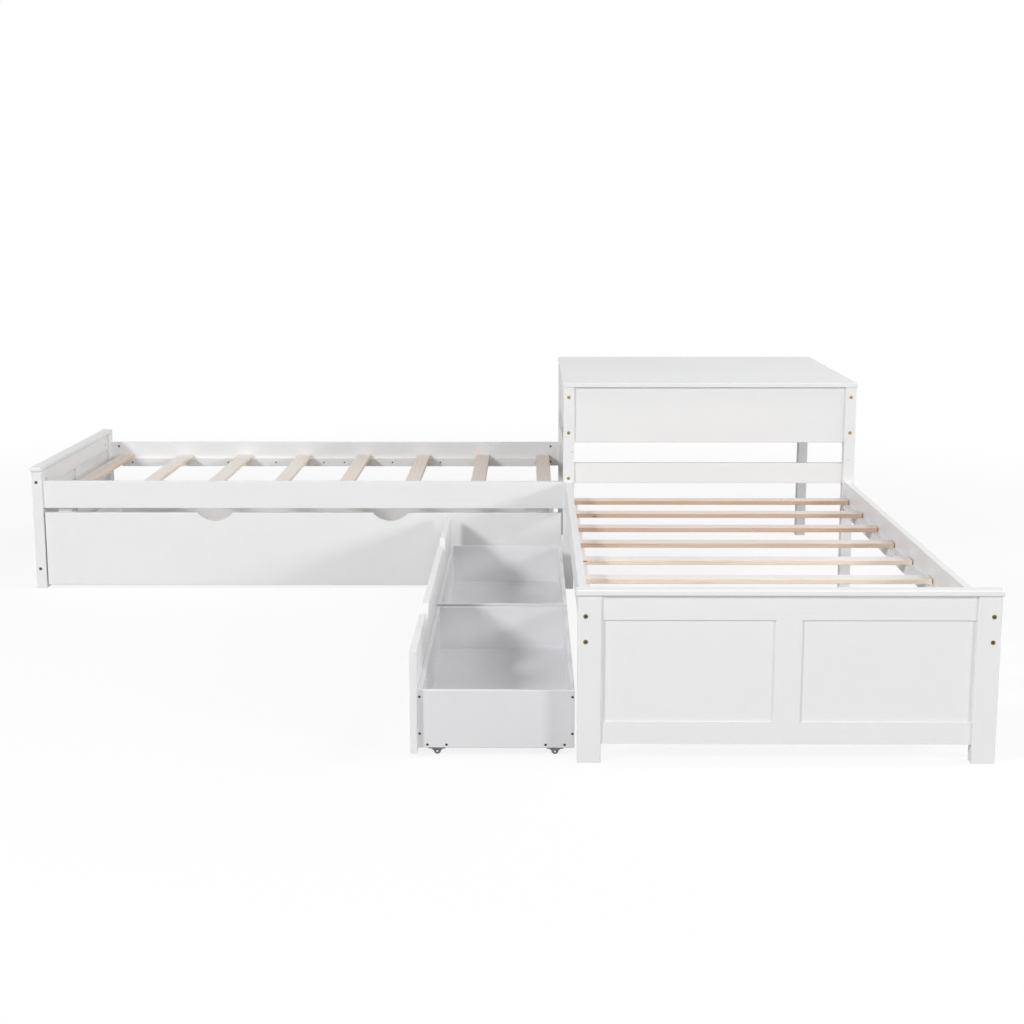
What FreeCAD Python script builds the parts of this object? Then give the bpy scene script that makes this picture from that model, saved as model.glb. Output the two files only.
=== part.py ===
"""L-shaped platform bed: two twin beds that meet at a corner desk, with two drawers and a trundle bed."""
import FreeCAD, Part
import os
import Sketcher
from FreeCAD import Placement, Rotation, Vector
from functools import partial

doc = FreeCAD.newDocument("corner_bed")

# Driving sizes in millimetres. The front bed runs to -Y and the left bed to -X, each from the corner desk.
sizes = {
    # side rails and slats
    "bed_width": 1060,
    "rail_length": 1912,
    "rail_thickness": 22,
    "rail_height": 100,
    "ledger_width": 20,
    "ledger_height": 33,
    "ledger_end_gap": 50,
    "slat_width": 56,
    "slat_thickness": 15,
    "slat_margin": 39,
    "slat_end_gap": 4,
    # footboards
    "post_width": 60,
    "post_depth": 36,
    "post_height": 436,
    "post_rise": 36,
    "frame_recess": 5,
    "top_rail_height": 63,
    "bottom_rail_height": 58,
    "bottom_rail_lift": 49,
    "stile_width": 66,
    "panel_recess": 4,
    "panel_thickness": 9,
    "panel_lap": 8,
    "cap_thickness": 16,
    "cap_overhang": 5,
    "cap_corner_round": 8,
    "cap_edge_round": 4,
    # desk
    "leg_width": 40,
    "desk_height": 762,
    "top_thickness": 15,
    "top_overhang": 2,
    "top_corner_round": 3,
    "top_edge_round": 2,
    "guard_height": 74,
    "guard_gap": 6,
    "apron_gap": 76,
    # eased edges of the boards
    "board_round": 2,
    "post_round": 3,
    # connector bolts and barrel nuts
    "bolt_radius": 3,
    "bolt_head_radius": 6,
    "bolt_head_height": 2.5,
    "bolt_sink": 0.8,
    "bolt_clearance": 0.25,
    "bolt_overrun": 8,
    "bolt_tip_room": 2,
    "socket_width": 5,
    "socket_depth": 1.8,
    "nut_radius": 5,
    "nut_setback": 33,
    "nut_recess": 4,
    "nut_cover": 4,
    "nut_clearance": 0.1,
    "nut_slot_width": 1.4,
    "nut_slot_depth": 1,
    "rail_bolt_spread": 33,
    "bolt_stagger": 12,
    "frame_bolt_lift": 24,
    "guard_bolt_offset": 18.5,
    # wood screws
    "screw_radius": 1.8,
    "screw_head_radius": 3.2,
    "screw_head_height": 1.2,
    "screw_bite": 14,
    "ledger_screw_margin": 44,
    # tall fronts and their finger cut-outs
    "front_thickness": 18,
    "moon_width": 130,
    "moon_depth": 31,
    # drawers, pulled out
    "drawer_pull": 436,
    "drawer_post_gap": 2,
    "drawer_gap": 4,
    "drawer_leg_gap": 46,
    "drawer_front_lift": 10,
    "drawer_top_gap": 20,
    "drawer_depth": 404,
    "drawer_box_inset": 13,
    "drawer_box_height": 154,
    "drawer_board_thickness": 12,
    "drawer_bottom_thickness": 5,
    "drawer_groove": 5,
    "corner_screw_low": 38,
    "corner_screw_high": 18,
    "front_screw_spread": 300,
    # trundle bed
    "trundle_end_gap": 4,
    "trundle_front_lift": 11,
    "trundle_top_gap": 17,
    "trundle_back_gap": 51,
    "trundle_end_inset": 20,
    "trundle_board_thickness": 18,
    "trundle_box_height": 150,
    "trundle_ledger_lift": 24,
    "trundle_ledger_height": 26,
    "trundle_slat_margin": 63.5,
    "trundle_screw_margin": 54,
    "trundle_moon_spread": 323,
    "stop_block_length": 50,
    "stop_block_height": 38,
    "stop_block_leg_gap": 87,
    # casters
    "caster_height": 22,
    "caster_setback": 20,
    "drawer_caster_inset": 50,
    "trundle_caster_inset": 100,
    "wheel_radius": 9,
    "wheel_width": 8,
    "wheel_rim_round": 1.5,
    "wheel_clearance": 0.05,
    "wheel_side_gap": 0.5,
    "axle_radius": 2,
    "rivet_radius": 3.2,
    "rivet_height": 1.2,
    "cheek_thickness": 2,
    "cheek_round": 7.5,
    "cheek_top_width": 40,
    "plate_length": 43,
    "plate_width": 38,
    "plate_thickness": 2.5,
    "block_length": 70,
    "block_width": 30,
    "block_height": 18,
    "caster_screw_spread": 24.5,
    "caster_screw_lift": 8.5,
}

slat_count = 8
ledger_screw_count = 5
trundle_screw_count = 5

# Places and sizes that follow from the driving ones. The frame's origin is the middle of the floor it covers.
places = {
    "corner": "(size.rail_length + size.post_depth - size.bed_width) / 2",
    "foot": "corner - size.rail_length - size.post_depth",
    "middle": "corner + size.bed_width / 2",
    "far_side": "corner + size.bed_width",
    # lines through the middle of the side rails, the aprons and the legs
    "inner_line": "corner + size.leg_width / 2",
    "outer_line": "far_side - size.leg_width / 2",
    "inner_rail": "inner_line - size.rail_thickness / 2",
    "outer_rail": "outer_line - size.rail_thickness / 2",
    "inner_ledger": "inner_rail + size.rail_thickness",
    "outer_ledger": "outer_rail - size.ledger_width",
    "rail_middle": "corner - size.rail_length / 2",
    "rail_lift": "size.post_height - size.post_rise - size.rail_height",
    "rail_height_line": "rail_lift + size.rail_height / 2",
    "ledger_start": "corner - size.rail_length + size.ledger_end_gap",
    "ledger_length": "size.rail_length / 2 - size.ledger_end_gap",
    "slat_start": "inner_ledger + size.slat_end_gap",
    "slat_length": "outer_rail - inner_ledger - 2 * size.slat_end_gap",
    "slat_lift": "rail_lift + size.ledger_height",
    "slat_pitch": f"(size.rail_length - 2 * size.slat_margin - size.slat_width) / {slat_count - 1}",
    "ledger_screw_pitch": f"(ledger_length - 2 * size.ledger_screw_margin) / {ledger_screw_count - 1}",
    # footboard
    "cap_depth": "size.post_depth + size.cap_overhang",
    "frame_face": "foot + size.frame_recess",
    "frame_line": "frame_face + size.rail_thickness / 2",
    "frame_start": "corner + size.post_width",
    "frame_length": "size.bed_width - 2 * size.post_width",
    "top_rail_lift": "size.post_height - size.top_rail_height",
    "stile_start": "middle - size.stile_width / 2",
    "stile_lift": "size.bottom_rail_lift + size.bottom_rail_height",
    "stile_height": "top_rail_lift - stile_lift",
    "panel_face": "frame_face + size.panel_recess",
    "panel_length": "(frame_length - size.stile_width) / 2 + 2 * size.panel_lap",
    "panel_height": "stile_height + 2 * size.panel_lap",
    "panel_lift": "stile_lift - size.panel_lap",
    "inner_panel": "frame_start - size.panel_lap",
    "outer_panel": "stile_start + size.stile_width - size.panel_lap",
    # desk
    "leg_height": "size.desk_height - size.top_thickness",
    "outer_leg": "far_side - size.leg_width",
    "apron_start": "corner + size.leg_width",
    "apron_length": "size.bed_width - 2 * size.leg_width",
    "guard_lift": "rail_height_line + size.rail_bolt_spread + size.bolt_head_radius + size.guard_gap",
    "guard_line": "guard_lift + size.guard_height / 2",
    "apron_lift": "guard_lift + size.guard_height + size.apron_gap",
    "apron_height": "leg_height - apron_lift",
    "apron_line": "apron_lift + apron_height / 2",
    "apron_bolt_spread": "0.32 * apron_height",
    "apron_cross_spread": "0.22 * apron_height",
    "nut_length": "size.rail_thickness - size.nut_recess - size.nut_cover",
    "nut_thread": "size.rail_thickness / 2 - size.nut_recess",
    # tall fronts
    "moon_radius": "(size.moon_width * size.moon_width / 4 + size.moon_depth * size.moon_depth)"
                   " / (2 * size.moon_depth)",
    # drawers
    "drawer_length": "(size.rail_length - size.drawer_post_gap - size.drawer_gap - size.drawer_leg_gap) / 2",
    "near_drawer": "foot + size.post_depth + size.drawer_post_gap",
    "far_drawer": "near_drawer + drawer_length + size.drawer_gap",
    "drawer_face": "inner_rail - size.drawer_pull",
    "drawer_box_front": "drawer_face + size.front_thickness",
    "drawer_box_back": "drawer_box_front + size.drawer_depth",
    "drawer_front_height": "rail_lift - size.drawer_top_gap - size.drawer_front_lift",
    "drawer_end_length": "drawer_length - 2 * size.drawer_box_inset - 2 * size.drawer_board_thickness",
    "drawer_bottom_lift": "size.caster_height + size.block_height",
    # trundle bed
    "trundle_start": "corner - size.rail_length + size.trundle_end_gap",
    "trundle_length": "size.rail_length - 2 * size.trundle_end_gap",
    "trundle_front_height": "rail_lift - size.trundle_top_gap - size.trundle_front_lift",
    "trundle_inside": "inner_rail + size.front_thickness",
    "trundle_back": "far_side - size.trundle_back_gap",
    "trundle_back_inside": "trundle_back - size.trundle_board_thickness",
    "trundle_width": "trundle_back_inside - trundle_inside",
    "trundle_left_face": "trundle_start + size.trundle_end_inset",
    "trundle_right_face": "trundle_start + trundle_length - size.trundle_end_inset",
    "trundle_box_length": "trundle_right_face - trundle_left_face",
    "trundle_left_inside": "trundle_left_face + size.trundle_board_thickness",
    "trundle_inner_length": "trundle_right_face - trundle_left_inside - size.trundle_board_thickness",
    "trundle_slat_pitch": "(trundle_inner_length - 2 * size.trundle_slat_margin - size.slat_width)"
                          f" / {slat_count - 1}",
    "trundle_screw_pitch": "(trundle_inner_length - 2 * size.trundle_screw_margin)"
                           f" / {trundle_screw_count - 1}",
    "trundle_front_axle": "trundle_inside + size.trundle_caster_inset",
    "trundle_rear_axle": "trundle_back_inside - size.trundle_caster_inset",
    # screw heights on the boxes' sides
    "caster_screw_line": "size.caster_height + size.caster_screw_lift",
    "low_screw_line": "size.caster_height + size.corner_screw_low",
    "drawer_high_screw_line": "size.caster_height + size.drawer_box_height - size.corner_screw_high",
    "trundle_high_screw_line": "size.caster_height + size.trundle_box_height - size.corner_screw_high",
    # casters, measured from the axle
    "plate_underside": "size.caster_height - size.wheel_radius - size.plate_thickness",
    "cheek_face": "size.wheel_width / 2 + size.wheel_side_gap",
    "cheek_back": "cheek_face + size.cheek_thickness",
}

size_sheet = doc.addObject("Spreadsheet::Sheet", "size")
for row, (alias, value) in enumerate(sizes.items(), start=1):
    size_sheet.set(f"A{row}", alias)
    size_sheet.set(f"B{row}", str(value))
    size_sheet.setAlias(f"B{row}", alias)
doc.recompute()

place_sheet = doc.addObject("Spreadsheet::Sheet", "place")
for row, (alias, formula) in enumerate(places.items(), start=1):
    place_sheet.set(f"A{row}", alias)
    place_sheet.setAlias(f"B{row}", alias)
for row, formula in enumerate(places.values(), start=1):
    place_sheet.set(f"B{row}", f"={formula}")
doc.recompute()

origin = ("0", "0", "0")
nodes = []
holes = {}


# Ways to place and join solids


def facing(x, y):
    """A turn that lays local z along a level direction, with local y up and local x level."""
    along = Vector(x, y, 0)
    level = Vector(0, 0, 1).cross(along)
    return Rotation(level, Vector(0, 0, 1), along, "ZXY")


turns = {"+x": facing(1, 0), "-x": facing(-1, 0), "+y": facing(0, 1), "-y": facing(0, -1), "+z": Rotation()}
opposite = {"+x": "-x", "-x": "+x", "+y": "-y", "-y": "+y"}

sample_edges = list(enumerate(Part.makeBox(1, 1, 1).Edges, start=1))
box_edges = {axis: [i for i, edge in sample_edges if abs(edge.tangentAt(0).dot(way)) > 0.5]
             for axis, way in zip("xyz", (Vector(1, 0, 0), Vector(0, 1, 0), Vector(0, 0, 1)))}


def put(piece, at, direction="+z"):
    """Turn a piece, then bind its place."""
    piece.Placement = Placement(Vector(), turns[direction])
    for axis, text in zip("xyz", at):
        piece.setExpression(f"Placement.Base.{axis}", text)
    return piece


def moved(at, direction, distance):
    """The same point, further along a direction."""
    sign, axis = direction
    point = list(at)
    point["xyz".index(axis)] += f" {sign} ({distance})"
    return tuple(point)


def board(label, size, at):
    piece = doc.addObject("Part::Box", label)
    for name, text in zip(("Length", "Width", "Height"), size):
        piece.setExpression(name, text)
    return put(piece, at)


def rod(label, radius, length, at=origin, direction="+z"):
    piece = doc.addObject("Part::Cylinder", label)
    piece.setExpression("Radius", radius)
    piece.setExpression("Height", length)
    return put(piece, at, direction)


def fuse(label, members):
    piece = doc.addObject("Part::MultiFuse", label)
    piece.Shapes = members
    return piece


def cut(label, base, cutters):
    piece = doc.addObject("Part::Cut", label)
    piece.Base = base
    piece.Tool = cutters[0] if len(cutters) == 1 else fuse(f"{label}_cutters", cutters)
    return piece


def eased(label, size, at, along):
    """A board with its edges along some axes rounded over, uprights more than the rest."""
    piece = doc.addObject("Part::Fillet", label)
    piece.Base = board(f"{label}_sawn", size, at)
    radius = size_sheet.post_round if along == "z" else size_sheet.board_round
    piece.Edges = [(edge, radius, radius) for axis in along for edge in box_edges[axis]]
    return piece


def drilled(label, size, at, along=""):
    """A board, eased or not, with every hole and groove that was laid out for it."""
    make = partial(eased, along=along) if along else board
    if label not in holes:
        return make(label, size, at)
    return cut(label, make(f"{label}_blank", size, at), holes[label])


def group(label, members):
    piece = doc.addObject("Part::Compound", label)
    piece.Links = members
    return piece


def copy(label, model, at, direction):
    piece = doc.addObject("App::Link", label)
    piece.LinkedObject = model
    return put(piece, at, direction)


def keep(*pieces):
    nodes.extend(pieces)


def lay_hole(cutter, *labels):
    for label in labels:
        holes.setdefault(label, []).append(cutter)


# Bodies drawn from sketches


def sketch_on_floor(body, name):
    sketch = body.newObject("Sketcher::SketchObject", name)
    plane = next(feature for feature in body.Origin.OriginFeatures if feature.Role == "XY_Plane")
    sketch.AttachmentSupport = (plane, [""])
    sketch.MapMode = "FlatFace"
    return sketch


def constrain(sketch, name, expression, *constraint):
    index = sketch.addConstraint(Sketcher.Constraint(*constraint))
    sketch.renameConstraint(index, name)
    sketch.setExpression(f"Constraints.{name}", expression)


def round_edges(body, name, base, radius, wanted):
    """Fillet the edges of a body's last feature that a test picks."""
    doc.recompute()
    fillet = body.newObject("PartDesign::Fillet", name)
    picked = [f"Edge{i}" for i, edge in enumerate(base.Shape.Edges, start=1) if wanted(edge)]
    fillet.Base = (base, picked)
    fillet.setExpression("Radius", radius)
    return fillet


def rounded_board(label, size, at, corner_round, edge_round):
    """A board with rounded corners in plan and rounded rims above and below."""
    body = doc.addObject("PartDesign::Body", label)
    outline = sketch_on_floor(body, f"{label}_outline")
    points = [Vector(0, 0, 0), Vector(9, 0, 0), Vector(9, 5, 0), Vector(0, 5, 0)]
    for start, end in zip(points, points[1:] + points[:1]):
        outline.addGeometry(Part.LineSegment(start, end))
    for line in range(4):
        outline.addConstraint(Sketcher.Constraint("Coincident", line, 2, (line + 1) % 4, 1))
    for line, level in enumerate(("Horizontal", "Vertical", "Horizontal", "Vertical")):
        outline.addConstraint(Sketcher.Constraint(level, line))
    outline.addConstraint(Sketcher.Constraint("Coincident", 0, 1, -1, 1))
    constrain(outline, "length", size[0], "DistanceX", 0, 1, 0, 2, 9)
    constrain(outline, "width", size[1], "DistanceY", 1, 1, 1, 2, 5)
    pad = body.newObject("PartDesign::Pad", f"{label}_pad")
    pad.Profile = outline
    pad.setExpression("Length", size[2])

    def upright(edge):
        return edge.BoundBox.ZLength > edge.BoundBox.XLength + edge.BoundBox.YLength

    corners = round_edges(body, f"{label}_corners", pad, corner_round, upright)
    round_edges(body, f"{label}_rims", corners, edge_round, lambda edge: not upright(edge))
    return put(body, at)


def wheel_model(label):
    body = doc.addObject("PartDesign::Body", label)
    outline = sketch_on_floor(body, f"{label}_outline")
    for circle, (name, radius) in enumerate((("rim", "size.wheel_radius"),
                                             ("bore", "size.axle_radius + size.wheel_clearance"))):
        outline.addGeometry(Part.Circle(Vector(0, 0, 0), Vector(0, 0, 1), 9 - 7 * circle))
        outline.addConstraint(Sketcher.Constraint("Coincident", circle, 3, -1, 1))
        constrain(outline, name, radius, "Radius", circle, 9 - 7 * circle)
    outline.setExpression("AttachmentOffset.Base.z", "-size.wheel_width / 2")
    pad = body.newObject("PartDesign::Pad", f"{label}_pad")
    pad.Profile = outline
    pad.setExpression("Length", "size.wheel_width")
    doc.recompute()
    rim = size_sheet.wheel_radius

    def on_rim(edge):
        return edge.Closed and abs(edge.BoundBox.XLength - 2 * rim) < rim / 10

    round_edges(body, f"{label}_rims", pad, "size.wheel_rim_round", on_rim)
    return body


# Models of the hardware, each made once


def bolt_model(label, grip):
    """A connector bolt, its head sunk in the wood's face at the origin, and the hole that it needs."""
    reach = f"{grip} + size.nut_setback + size.bolt_overrun"
    head_top = ("0", "0", "size.bolt_sink")
    head = rod(f"{label}_head", "size.bolt_head_radius", "size.bolt_head_height", head_top)
    shank = rod(f"{label}_shank", "size.bolt_radius", f"{reach} - size.bolt_sink", head_top)
    socket = doc.addObject("Part::Prism", f"{label}_socket")
    socket.Polygon = 6
    socket.setExpression("Circumradius", "size.socket_width / sqrt(3)")
    socket.setExpression("Height", "size.socket_depth")
    put(socket, head_top)
    bolt = cut(label, fuse(f"{label}_blank", [head, shank]), [socket])
    bore = rod(f"{label}_bore", "size.bolt_radius + size.bolt_clearance", f"{reach} + size.bolt_tip_room")
    sink = rod(f"{label}_sink", "size.bolt_head_radius + size.bolt_clearance",
               "size.bolt_sink + size.bolt_head_height")
    return bolt, fuse(f"{label}_hole", [bore, sink])


def barrel_nut_model(label):
    """A barrel nut from its slotted end into the wood, and the blind hole that it needs."""
    blank = rod(f"{label}_blank", "size.nut_radius", "place.nut_length")
    thread = rod(f"{label}_thread", "size.bolt_radius + size.bolt_clearance", "4 * size.nut_radius",
                 ("-2 * size.nut_radius", "0", "place.nut_thread"), "+x")
    slot = board(f"{label}_slot", ("2 * size.nut_radius", "size.nut_slot_width", "size.nut_slot_depth"),
                 ("-size.nut_radius", "-size.nut_slot_width / 2", "0"))
    hole = rod(f"{label}_hole", "size.nut_radius + size.nut_clearance", "size.nut_recess + place.nut_length")
    return cut(label, blank, [thread, slot]), hole


def screw_model(label, grip):
    """A wood screw, its head on the wood's face at the origin, and the hole that its shank cuts."""
    reach = f"{grip} + size.screw_bite"
    head = rod(f"{label}_head", "size.screw_head_radius", "size.screw_head_height",
               ("0", "0", "-size.screw_head_height"))
    shank = rod(f"{label}_shank", "size.screw_radius", reach)
    return fuse(label, [head, shank]), rod(f"{label}_hole", "size.screw_radius", reach)


def fork_model(label):
    """A plate with two cheeks that taper to the riveted axle. Its origin is the wheel's centre."""
    members = [board(f"{label}_plate", ("size.plate_length", "size.plate_thickness", "size.plate_width"),
                     ("-size.plate_length / 2", "place.plate_underside", "-size.plate_width / 2"))]
    sides = (("inner", "place.cheek_face", "place.cheek_back"),
             ("outer", "-place.cheek_back", "-place.cheek_back - size.rivet_height"))
    for side, face, rivet in sides:
        cheek = doc.addObject("Part::Wedge", f"{label}_{side}_cheek")
        bounds = {"Xmin": "-size.cheek_round", "Xmax": "size.cheek_round",
                  "X2min": "-size.cheek_top_width / 2", "X2max": "size.cheek_top_width / 2",
                  "Ymin": "0", "Ymax": "place.plate_underside", "Zmin": "0", "Z2min": "0",
                  "Zmax": "size.cheek_thickness", "Z2max": "size.cheek_thickness"}
        for name, text in bounds.items():
            cheek.setExpression(name, text)
        members.append(put(cheek, ("0", "0", face)))
        members.append(rod(f"{label}_{side}_round", "size.cheek_round", "size.cheek_thickness",
                           ("0", "0", face)))
        members.append(rod(f"{label}_{side}_rivet", "size.rivet_radius", "size.rivet_height",
                           ("0", "0", rivet)))
    members.append(rod(f"{label}_axle", "size.axle_radius", "2 * place.cheek_face",
                       ("0", "0", "-place.cheek_face")))
    return fuse(label, members)


bolt_models = {
    "post": (bolt_model("post_bolt", "size.post_depth"), "size.post_depth"),
    "frame": (bolt_model("frame_bolt", "size.post_width"), "size.post_width"),
    "leg": (bolt_model("leg_bolt", "size.leg_width"), "size.leg_width"),
}
nut_model, nut_hole_model = barrel_nut_model("barrel_nut")
ledger_screw_model = screw_model("ledger_screw", "size.ledger_width")
drawer_screw_model = screw_model("drawer_screw", "size.drawer_board_thickness")
board_screw_model = screw_model("board_screw", "size.trundle_board_thickness")
fork = fork_model("caster_fork")
wheel = wheel_model("caster_wheel")

bolts = []
nuts = []


def bolt(kind, post, rail, level, seat, direction, nut_direction):
    """A bolt through a post into a rail's end, with its barrel nut set in from the rail's inner face."""
    (model, hole), grip = bolt_models[kind]
    label = f"{rail}_{post}_{level}"
    nut_at = moved(seat, direction, f"{grip} + size.nut_setback")
    nut_at = moved(nut_at, opposite[nut_direction], "place.nut_thread")
    nut_mouth = moved(nut_at, opposite[nut_direction], "size.nut_recess")
    bolts.append(copy(f"{label}_bolt", model, seat, direction))
    nuts.append(copy(f"{label}_nut", nut_model, nut_at, nut_direction))
    lay_hole(copy(f"{label}_bolt_hole", hole, seat, direction), post, rail)
    lay_hole(copy(f"{label}_nut_hole", nut_hole_model, nut_mouth, nut_direction), rail)


def screw(label, models, at, direction, *pieces):
    """A wood screw, with its hole laid out in the pieces that it joins."""
    model, hole = models
    lay_hole(copy(f"{label}_hole", hole, at, direction), *pieces)
    return copy(label, model, at, direction)


# The two beds share one layout: across and along are x and y on the front bed, y and x on the left one

beds = {"front_bed": ("x", "y"), "left_bed": ("y", "x")}
rail_ends = {"high": "+", "low": "-"}
ledger_halves = {"foot": "place.ledger_start", "desk": "place.rail_middle"}
desk_spread = {"front_bed": "size.rail_bolt_spread - size.bolt_stagger", "left_bed": "size.rail_bolt_spread"}
desk_legs = {("front_bed", "inner"): "desk_front_left_leg", ("front_bed", "outer"): "desk_front_right_leg",
             ("left_bed", "inner"): "desk_front_left_leg", ("left_bed", "outer"): "desk_back_left_leg"}


def laid(bed, across, along, up):
    return (across, along, up) if bed == "front_bed" else (along, across, up)


def bolt_bed(bed):
    """Bolts from posts and desk legs into the side rails, and from posts into the footboard's rails."""
    across, along = beds[bed]
    outward = {"inner": f"-{across}", "outer": f"+{across}"}
    for side, line in (("inner", "place.inner_line"), ("outer", "place.outer_line")):
        post = f"{bed}_{side}_post"
        rail = f"{bed}_{side}_rail"
        for level, sign in rail_ends.items():
            post_seat = laid(bed, line, "place.foot", f"place.rail_height_line {sign} size.rail_bolt_spread")
            leg_seat = laid(bed, line, "place.apron_start",
                            f"place.rail_height_line {sign} ({desk_spread[bed]})")
            bolt("post", post, rail, level, post_seat, f"+{along}", outward[side])
            bolt("leg", desk_legs[bed, side], rail, level, leg_seat, f"-{along}", outward[side])
        face = "place.corner" if side == "inner" else "place.far_side"
        for rail_name, lift in (("top", "place.top_rail_lift"), ("bottom", "size.bottom_rail_lift")):
            seat = laid(bed, face, "place.frame_line", f"{lift} + size.frame_bolt_lift")
            inward = opposite[outward[side]]
            bolt("frame", post, f"{bed}_{rail_name}_rail", rail_name, seat, inward, f"-{along}")


def make_footboard(bed):
    def piece(make, label, across, along, up):
        size = laid(bed, across[1], along[1], up[1])
        return make(f"{bed}_{label}", size, laid(bed, across[0], along[0], up[0]))

    frame_depth = ("place.frame_face", "size.rail_thickness")
    panel_depth = ("place.panel_face", "size.panel_thickness")
    panel_up = ("place.panel_lift", "place.panel_height")
    panels = []
    for side in ("inner", "outer"):
        panel_across = (f"place.{side}_panel", "place.panel_length")
        panel = piece(board, f"{side}_panel", panel_across, panel_depth, panel_up)
        lay_hole(panel, f"{bed}_{side}_post", f"{bed}_top_rail", f"{bed}_bottom_rail", f"{bed}_stile")
        panels.append(panel)
    for side, start in (("inner", "place.corner"), ("outer", "place.far_side - size.post_width")):
        keep(piece(partial(drilled, along="z"), f"{side}_post", (start, "size.post_width"),
                   ("place.foot", "size.post_depth"), ("0", "size.post_height")))
    frame = ("place.frame_start", "place.frame_length")
    keep(piece(drilled, "top_rail", frame, frame_depth, ("place.top_rail_lift", "size.top_rail_height")))
    keep(piece(drilled, "bottom_rail", frame, frame_depth,
               ("size.bottom_rail_lift", "size.bottom_rail_height")))
    keep(piece(drilled, "stile", ("place.stile_start", "size.stile_width"), frame_depth,
               ("place.stile_lift", "place.stile_height")))
    keep(group(f"{bed}_panels", panels))

    cap_board = partial(rounded_board, corner_round="size.cap_corner_round", edge_round="size.cap_edge_round")
    keep(piece(cap_board, "cap",
               ("place.corner - size.cap_overhang", "size.bed_width + 2 * size.cap_overhang"),
               ("place.foot - size.cap_overhang", "place.cap_depth"),
               ("size.post_height", "size.cap_thickness")))


def screw_ledgers(bed):
    """The screws from each ledger's inner face into its side rail."""
    across = beds[bed][0]
    screws = []
    ends = (("inner", "place.inner_ledger + size.ledger_width", f"-{across}"),
            ("outer", "place.outer_ledger", f"+{across}"))
    for side, face, direction in ends:
        for half, start in ledger_halves.items():
            ledger = f"{bed}_{side}_{half}_ledger"
            for i in range(ledger_screw_count):
                along = f"{start} + size.ledger_screw_margin + {i} * place.ledger_screw_pitch"
                at = laid(bed, face, along, "place.rail_lift + size.ledger_height / 2")
                screws.append(screw(f"{ledger}_screw_{i}", ledger_screw_model, at, direction,
                                    ledger, f"{bed}_{side}_rail"))
    return screws


def make_side_rails(bed):
    """The two side rails, and the ledgers inside them, two to a rail."""
    ledgers = []
    for side in ("inner", "outer"):
        keep(drilled(f"{bed}_{side}_rail",
                     laid(bed, "size.rail_thickness", "size.rail_length", "size.rail_height"),
                     laid(bed, f"place.{side}_rail", "place.corner - size.rail_length", "place.rail_lift"),
                     beds[bed][1]))
        ledger_size = laid(bed, "size.ledger_width", "place.ledger_length", "size.ledger_height")
        for half, start in ledger_halves.items():
            ledgers.append(drilled(f"{bed}_{side}_{half}_ledger", ledger_size,
                                   laid(bed, f"place.{side}_ledger", start, "place.rail_lift")))
    return ledgers


def make_slats(bed):
    slats = []
    for i in range(slat_count):
        step = i - (slat_count - 1) / 2
        along = f"place.rail_middle + {step} * place.slat_pitch - size.slat_width / 2"
        slats.append(eased(f"{bed}_slat_{i}",
                           laid(bed, "place.slat_length", "size.slat_width", "size.slat_thickness"),
                           laid(bed, "place.slat_start", along, "place.slat_lift"), beds[bed][0]))
    keep(group(f"{bed}_slats", slats))


# Corner desk


def bolt_desk():
    """Bolts through the legs into the aprons and the two guard rails."""
    columns = {"left": ("place.corner", "+x", "place.inner_line"),
               "right": ("place.far_side", "-x", "place.outer_line")}
    rows = {"front": ("place.corner", "+y", "place.inner_line"),
            "back": ("place.far_side", "-y", "place.outer_line")}
    for column, (x_face, x_way, x_line) in columns.items():
        for row, (y_face, y_way, y_line) in rows.items():
            leg = f"desk_{row}_{column}_leg"
            for level, sign in rail_ends.items():
                side_seat = (x_line, y_face, f"place.apron_line {sign} place.apron_bolt_spread")
                bolt("leg", leg, f"desk_{column}_apron", level, side_seat, y_way, opposite[x_way])
                cross_seat = (x_face, y_line, f"place.apron_line {sign} place.apron_cross_spread")
                bolt("leg", leg, f"desk_{row}_apron", level, cross_seat, x_way, opposite[y_way])
            if column == "left":
                seat = (x_line, y_face, "place.guard_line - size.guard_bolt_offset")
                bolt("leg", leg, "desk_left_guard", "guard", seat, y_way, opposite[x_way])
            if row == "front":
                seat = (x_face, y_line, "place.guard_line + size.guard_bolt_offset")
                bolt("leg", leg, "desk_front_guard", "guard", seat, x_way, opposite[y_way])


def make_desk():
    starts = {"left": "place.corner", "right": "place.outer_leg",
              "front": "place.corner", "back": "place.outer_leg"}
    lines = {"left": "place.inner_rail", "right": "place.outer_rail",
             "front": "place.inner_rail", "back": "place.outer_rail"}
    for row in ("front", "back"):
        for column in ("left", "right"):
            keep(drilled(f"desk_{row}_{column}_leg", ("size.leg_width", "size.leg_width", "place.leg_height"),
                         (starts[column], starts[row], "0"), "z"))
    levels = {"apron": ("place.apron_lift", "place.apron_height"),
              "guard": ("place.guard_lift", "size.guard_height")}
    rails = [(side, "apron") for side in lines] + [("front", "guard"), ("left", "guard")]
    for side, kind in rails:
        lift, height = levels[kind]
        if side in ("left", "right"):
            keep(drilled(f"desk_{side}_{kind}", ("size.rail_thickness", "place.apron_length", height),
                         (lines[side], "place.apron_start", lift), "y"))
        else:
            keep(drilled(f"desk_{side}_{kind}", ("place.apron_length", "size.rail_thickness", height),
                         ("place.apron_start", lines[side], lift), "x"))
    spread = "size.bed_width + 2 * size.top_overhang"
    start = "place.corner - size.top_overhang"
    keep(rounded_board("desk_top", (spread, spread, "size.top_thickness"), (start, start, "place.leg_height"),
                       "size.top_corner_round", "size.top_edge_round"))


# Drawers


def caster_parts(label, wheel_at, direction):
    return (copy(f"{label}_fork", fork, wheel_at, direction),
            copy(f"{label}_wheel", wheel, wheel_at, direction))


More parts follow.
